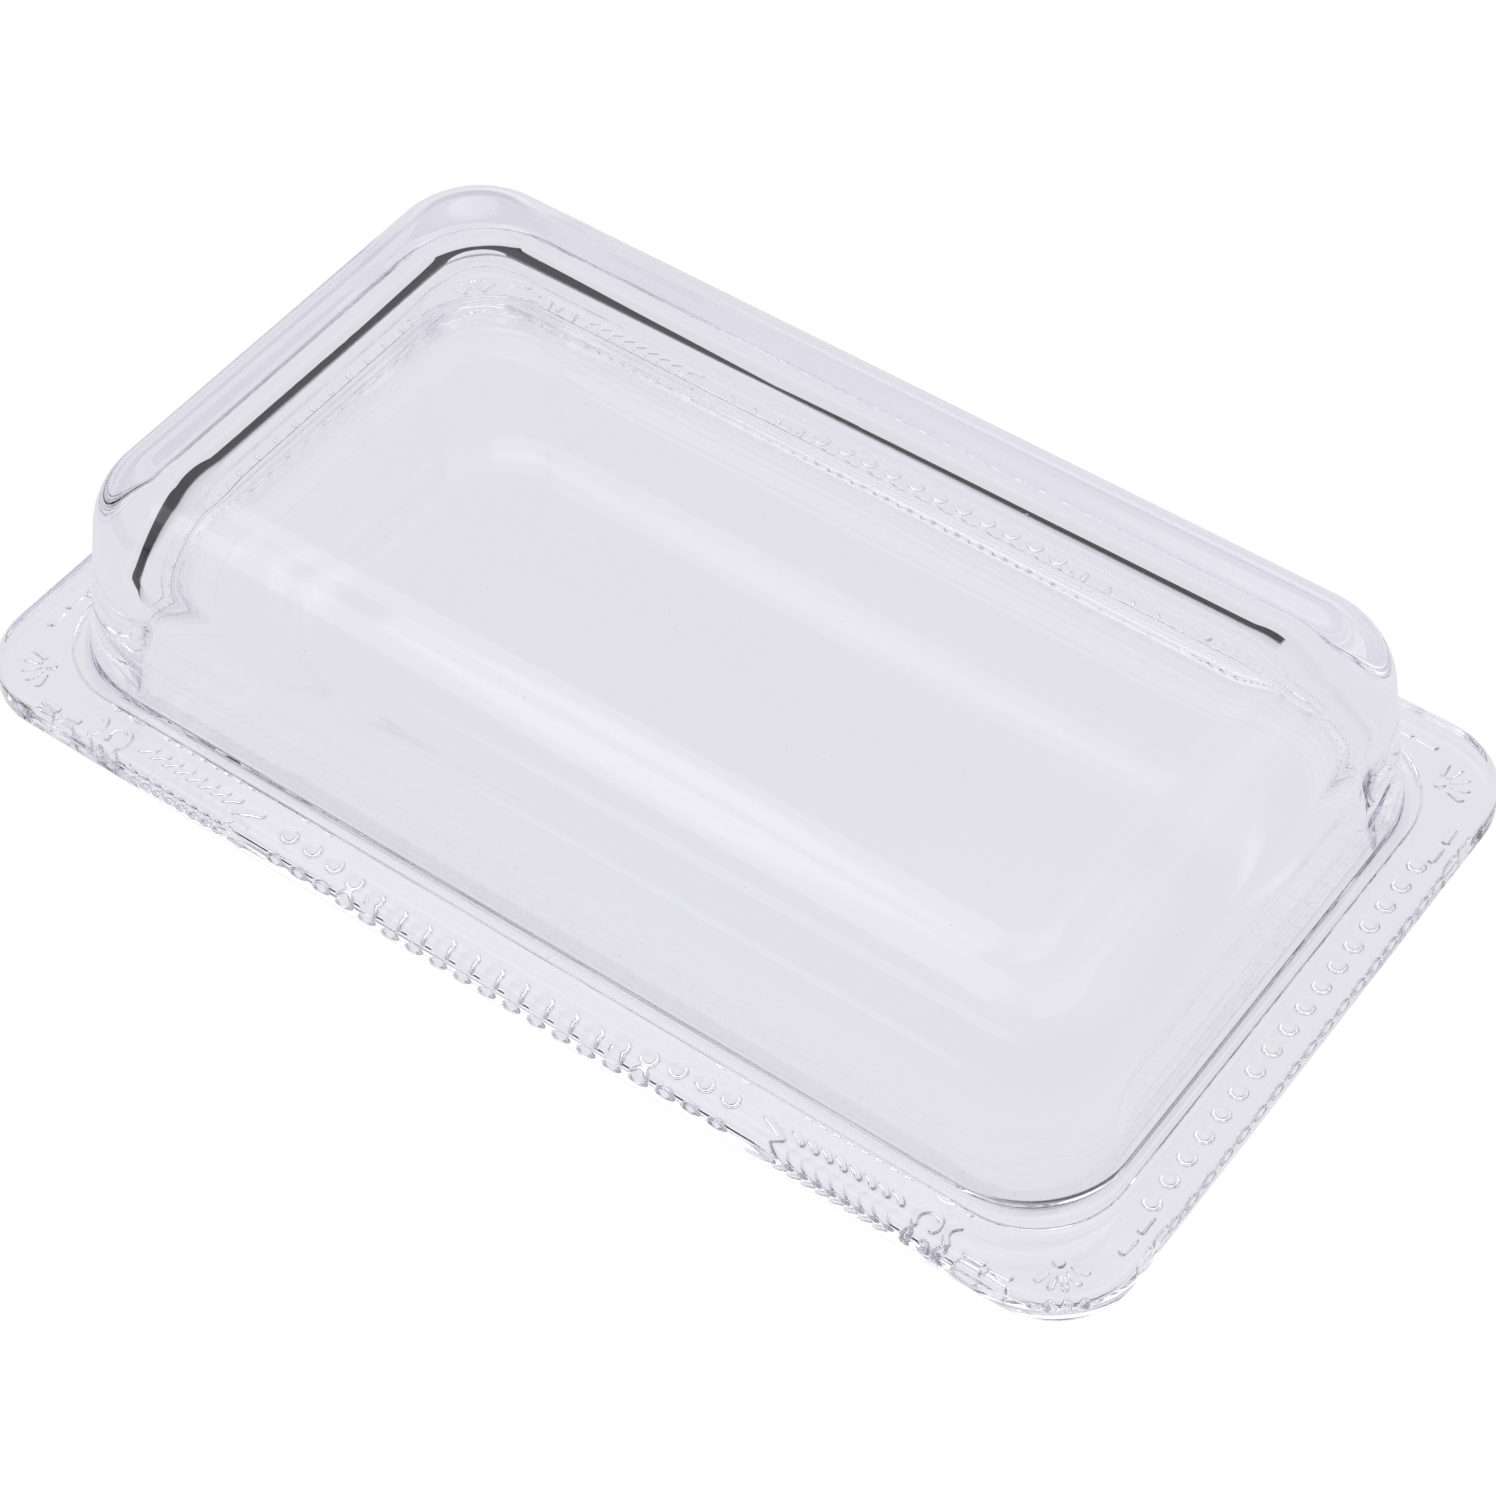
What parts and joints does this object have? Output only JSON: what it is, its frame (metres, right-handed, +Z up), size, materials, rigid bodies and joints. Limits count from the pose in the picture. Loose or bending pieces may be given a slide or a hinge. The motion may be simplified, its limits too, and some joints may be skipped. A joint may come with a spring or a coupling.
{
  "type": "butter dish",
  "caption": "Clear pressed-glass butter dish: rimmed rectangular tray with beaded and leafy relief under the rim, and a plain domed lid that lifts off.",
  "frame": {"origin": "centre of the flat underside that the tray rests on", "axes": "+X along the dish's length, +Y across its width, +Z up"},
  "size_m": [0.2, 0.12, 0.0403],
  "materials": {
    "tray_glass": "gloss",
    "lid_glass": "gloss"
  },
  "bodies": {
    "tray": {"tray": "tray_glass"},
    "lid": {"lid": "lid_glass"}
  },
  "joints": [
    {"name": "lid_lift", "type": "slide", "parent": "tray", "child": "lid", "axis": [0, 0, 1], "range_m": [0, 0.08]}
  ]
}
